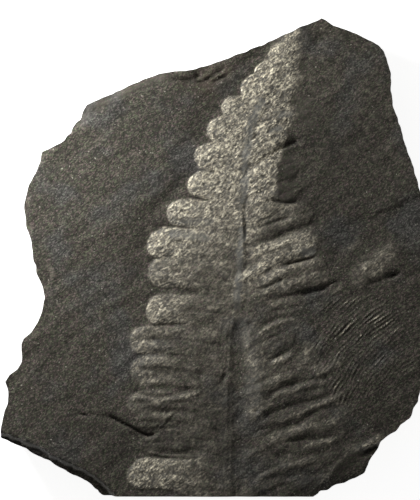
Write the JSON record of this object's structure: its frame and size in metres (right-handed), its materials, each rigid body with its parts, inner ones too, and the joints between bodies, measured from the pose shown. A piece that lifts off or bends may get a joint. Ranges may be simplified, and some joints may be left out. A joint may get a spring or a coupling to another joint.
{
  "type": "fossil fern plate",
  "caption": "Hand-sized slab of dark shale split along its bedding, with one fern frond pressed in low relief on its upper face; lies flat on its cleaved back.",
  "frame": {"origin": "on the plane the slab rests on, under the middle of its outline", "axes": "+Z out of the face that carries the fern, +Y towards the frond's tip, +X to the right of someone who reads the fern from above"},
  "size_m": [0.0968, 0.1079, 0.015],
  "materials": {
    "shale": "matte"
  },
  "bodies": {
    "root": {"shale_slab": "shale"}
  },
  "joints": []
}
